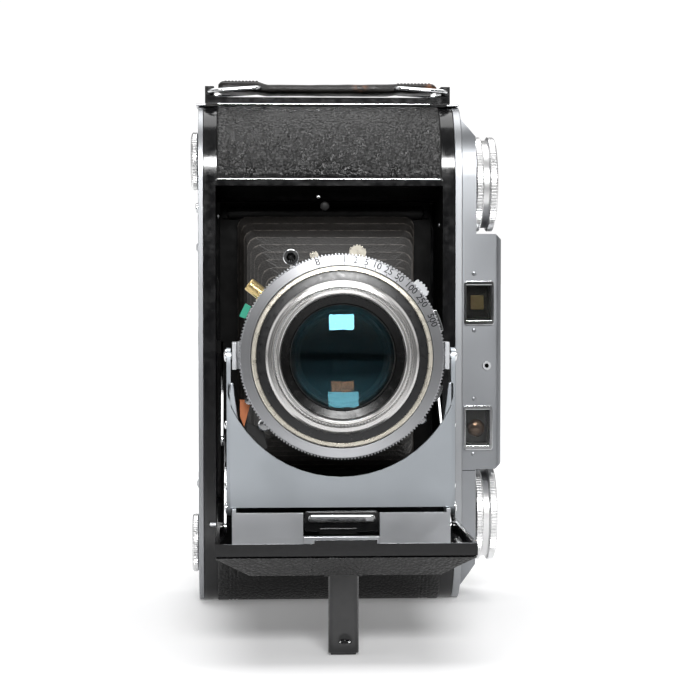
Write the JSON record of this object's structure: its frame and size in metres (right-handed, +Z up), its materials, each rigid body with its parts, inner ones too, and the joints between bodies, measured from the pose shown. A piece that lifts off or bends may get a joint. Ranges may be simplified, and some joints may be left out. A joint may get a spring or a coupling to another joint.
{
  "type": "folding camera",
  "caption": "Folding rangefinder camera with a drop-bed door, leather bellows, self-erecting lens standard and leather strap, standing on its end.",
  "frame": {"origin": "centre of the flat end face that the camera stands on", "axes": "+Z up along the body's length, -Y the way the lens looks, +X towards the finder housing"},
  "size_m": [0.1025, 0.1526, 0.1736],
  "materials": {
    "black_enamel": "glossy stove enamel",
    "black_leather": "fine-grained pressed leather",
    "bellows_leather": "thin matt bellows leather",
    "strap_leather": "worn smooth leather",
    "black_paint": "matt black paint",
    "satin_metal": "satin chrome over brass or light alloy",
    "chrome_metal": "bright chrome",
    "spool_metal": "black painted film spool",
    "brass_metal": "bare brass",
    "lens_glass": "coated optical glass",
    "window_glass": "clear window glass",
    "red_glass": "deep red window",
    "green_plastic": "green enamelled lever tip"
  },
  "bodies": {
    "camera_body": {"body_casting": "black_enamel", "front_leather_upper": "black_leather", "front_leather_lower": "black_leather", "film_gate": "black_paint", "bottom_plate": "satin_metal", "top_flange_plate": "satin_metal", "tripod_bush": "satin_metal", "top_housing": "satin_metal", "viewfinder_frame": "chrome_metal", "viewfinder_glass": "window_glass", "rangefinder_frame": "chrome_metal", "rangefinder_glass": "window_glass", "eyepiece": "black_paint", "rangefinder_prism": "window_glass", "end_plate": "satin_metal", "strap_plate": "black_enamel", "front_hinge_pin": "satin_metal", "back_hinge_pin": "satin_metal", "bellows": "bellows_leather"},
    "gate_roller_upper": {"gate_roller_upper": "satin_metal"},
    "gate_roller_lower": {"gate_roller_lower": "satin_metal"},
    "strap": {"carrying_strap": "strap_leather"},
    "strap_loop_left": {"strap_loop_left": "chrome_metal"},
    "strap_loop_right": {"strap_loop_right": "chrome_metal"},
    "door_release": {"door_release_button": "satin_metal"},
    "spool_pin_upper": {"spool_pin_upper": "satin_metal"},
    "spool_pin_lower": {"spool_pin_lower": "satin_metal"},
    "take_up": {"take_up_spool": "spool_metal", "take_up_key": "satin_metal"},
    "wind_knob": {"wind_knob": "satin_metal"},
    "focus_knob": {"focus_knob": "satin_metal"},
    "back_door": {"back_door_shell": "black_enamel", "back_leather": "black_leather", "red_window": "red_glass"},
    "window_cover": {"window_cover": "satin_metal"},
    "back_latch": {"back_latch": "satin_metal"},
    "pressure_plate": {"pressure_plate": "black_paint"},
    "front_door": {"door_pan": "black_enamel", "door_leather": "black_leather"},
    "foot": {"foot": "black_enamel"},
    "carriage": {"carriage": "satin_metal"},
    "collapse_bar": {"collapse_bar": "chrome_metal"},
    "u_bracket": {"u_bracket": "satin_metal"},
    "lens_unit": {"lens_board": "satin_metal", "shutter_case": "black_paint", "lens_barrel": "satin_metal", "front_glass": "lens_glass", "rear_cell": "black_paint", "rear_glass": "lens_glass", "sync_socket": "brass_metal", "cable_socket": "chrome_metal"},
    "speed_ring": {"speed_ring": "satin_metal"},
    "aperture_ring": {"aperture_ring": "satin_metal"},
    "cocking_lever": {"cocking_lever": "satin_metal"},
    "release_lever": {"release_lever": "satin_metal"},
    "sync_lever": {"sync_lever": "green_plastic"},
    "brace_upper_left": {"brace_upper_left": "chrome_metal"},
    "brace_lower_left": {"brace_lower_left": "chrome_metal"},
    "brace_upper_right": {"brace_upper_right": "chrome_metal"},
    "brace_lower_right": {"brace_lower_right": "chrome_metal"}
  },
  "joints": [
    {"name": "front_door_fold", "type": "hinge", "parent": "camera_body", "child": "front_door", "pos_m": [0, -0.02, 0.027], "axis": [-1, 0, 0], "range_deg": [0, 90], "deforming": ["bellows"]},
    {"name": "foot_fold", "type": "hinge", "parent": "front_door", "child": "foot", "pos_m": [0, -0.1115, 0.024], "axis": [1, 0, 0], "range_deg": [0, 90]},
    {"name": "carriage_slide", "type": "slide", "parent": "front_door", "child": "carriage", "axis": [0, -1, 0], "range_m": [0, 0.01]},
    {"name": "collapse_bar_press", "type": "slide", "parent": "carriage", "child": "collapse_bar", "axis": [0, 0, -1], "range_m": [0, 0.0014], "stiffness_N_per_m": 600},
    {"name": "u_bracket_fold", "type": "hinge", "parent": "carriage", "child": "u_bracket", "pos_m": [0, -0.097, 0.041], "axis": [-1, 0, 0], "range_deg": [0, 90]},
    {"name": "lens_tilt", "type": "hinge", "parent": "u_bracket", "child": "lens_unit", "pos_m": [0, -0.097, 0.0856], "axis": [1, 0, 0], "range_deg": [0, 180]},
    {"name": "speed_ring_turn", "type": "hinge", "parent": "lens_unit", "child": "speed_ring", "pos_m": [0, -0.097, 0.0856], "axis": [0, -1, 0], "range_deg": [-21, 62]},
    {"name": "aperture_ring_turn", "type": "hinge", "parent": "lens_unit", "child": "aperture_ring", "pos_m": [0, -0.097, 0.0856], "axis": [0, -1, 0], "range_deg": [-30, 12]},
    {"name": "cocking_lever_turn", "type": "hinge", "parent": "lens_unit", "child": "cocking_lever", "pos_m": [0, -0.097, 0.0856], "axis": [0, -1, 0], "range_deg": [-24, 0], "stiffness_Nm_per_rad": 0.05},
    {"name": "release_lever_turn", "type": "hinge", "parent": "lens_unit", "child": "release_lever", "pos_m": [0, -0.097, 0.0856], "axis": [0, -1, 0], "range_deg": [-14, 0], "stiffness_Nm_per_rad": 0.05},
    {"name": "sync_lever_turn", "type": "hinge", "parent": "lens_unit", "child": "sync_lever", "pos_m": [0, -0.097, 0.0856], "axis": [0, -1, 0], "range_deg": [0, 11]},
    {"name": "brace_upper_left_turn", "type": "hinge", "parent": "camera_body", "child": "brace_upper_left", "pos_m": [-0.03515, -0.007, 0.085], "axis": [1, 0, 0], "range_deg": [0, 45.43]},
    {"name": "brace_lower_left_turn", "type": "hinge", "parent": "front_door", "child": "brace_lower_left", "pos_m": [-0.03405, -0.078, 0.033], "axis": [-1, 0, 0], "range_deg": [0, 27.86]},
    {"name": "brace_upper_right_turn", "type": "hinge", "parent": "camera_body", "child": "brace_upper_right", "pos_m": [0.03515, -0.007, 0.085], "axis": [1, 0, 0], "range_deg": [0, 45.43]},
    {"name": "brace_lower_right_turn", "type": "hinge", "parent": "front_door", "child": "brace_lower_right", "pos_m": [0.03405, -0.078, 0.033], "axis": [-1, 0, 0], "range_deg": [0, 27.86]},
    {"name": "wind_knob_turn", "type": "hinge", "parent": "camera_body", "child": "wind_knob", "pos_m": [0.0525, 0.0012, 0.1395], "axis": [1, 0, 0], "continuous": true},
    {"name": "take_up_turn", "type": "hinge", "parent": "camera_body", "child": "take_up", "pos_m": [0, 0.0012, 0.147], "axis": [1, 0, 0], "continuous": true},
    {"name": "focus_knob_turn", "type": "hinge", "parent": "camera_body", "child": "focus_knob", "pos_m": [0.0525, 0, 0.0284], "axis": [1, 0, 0], "range_deg": [0, 300]},
    {"name": "spool_pin_upper_pull", "type": "slide", "parent": "camera_body", "child": "spool_pin_upper", "axis": [-1, 0, 0], "range_m": [0, 0.006]},
    {"name": "spool_pin_lower_pull", "type": "slide", "parent": "camera_body", "child": "spool_pin_lower", "axis": [-1, 0, 0], "range_m": [0, 0.006]},
    {"name": "door_release_press", "type": "slide", "parent": "camera_body", "child": "door_release", "axis": [1, 0, 0], "range_m": [0, 0.0012], "stiffness_N_per_m": 500},
    {"name": "back_door_fold", "type": "hinge", "parent": "camera_body", "child": "back_door", "pos_m": [0, 0.0186, 0.0016], "axis": [-1, 0, 0], "range_deg": [0, 90]},
    {"name": "window_cover_slide", "type": "slide", "parent": "back_door", "child": "window_cover", "axis": [1, 0, 0], "range_m": [0, 0.0165]},
    {"name": "back_latch_slide", "type": "slide", "parent": "back_door", "child": "back_latch", "axis": [0, 0, -1], "range_m": [0, 0.003], "stiffness_N_per_m": 400},
    {"name": "pressure_plate_press", "type": "slide", "parent": "back_door", "child": "pressure_plate", "axis": [0, 1, 0], "range_m": [0, 0.0012], "stiffness_N_per_m": 800},
    {"name": "gate_roller_upper_turn", "type": "hinge", "parent": "camera_body", "child": "gate_roller_upper", "pos_m": [0, 0.0106, 0.1299], "axis": [1, 0, 0], "continuous": true},
    {"name": "gate_roller_lower_turn", "type": "hinge", "parent": "camera_body", "child": "gate_roller_lower", "pos_m": [0, 0.0106, 0.0413], "axis": [1, 0, 0], "continuous": true},
    {"name": "strap_lift", "type": "slide", "parent": "camera_body", "child": "strap", "axis": [0, 0, 1], "range_m": [0, 0.006]},
    {"name": "strap_loop_left_turn", "type": "hinge", "parent": "camera_body", "child": "strap_loop_left", "pos_m": [-0.0393, 0.002, 0.1698], "axis": [0, -1, 0], "range_deg": [0, 26]},
    {"name": "strap_loop_right_turn", "type": "hinge", "parent": "camera_body", "child": "strap_loop_right", "pos_m": [0.0393, 0.002, 0.1698], "axis": [0, 1, 0], "range_deg": [0, 26]}
  ],
  "couplings": [
    {"joint": "u_bracket_fold", "follows": "front_door_fold", "ratio": 1},
    {"joint": "lens_tilt", "follows": "front_door_fold", "ratio": 2},
    {"joint": "brace_upper_left_turn", "follows": "front_door_fold", "ratio": 0.50472},
    {"joint": "brace_lower_left_turn", "follows": "front_door_fold", "ratio": 0.30958},
    {"joint": "brace_upper_right_turn", "follows": "front_door_fold", "ratio": 0.50472},
    {"joint": "brace_lower_right_turn", "follows": "front_door_fold", "ratio": 0.30958},
    {"joint": "focus_knob_turn", "follows": "carriage_slide", "rad_per_m": 523.59},
    {"joint": "take_up_turn", "follows": "wind_knob_turn", "ratio": -1},
    {"joint": "strap_loop_left_turn", "follows": "strap_lift", "rad_per_m": 62.27},
    {"joint": "strap_loop_right_turn", "follows": "strap_lift", "rad_per_m": 62.27}
  ]
}
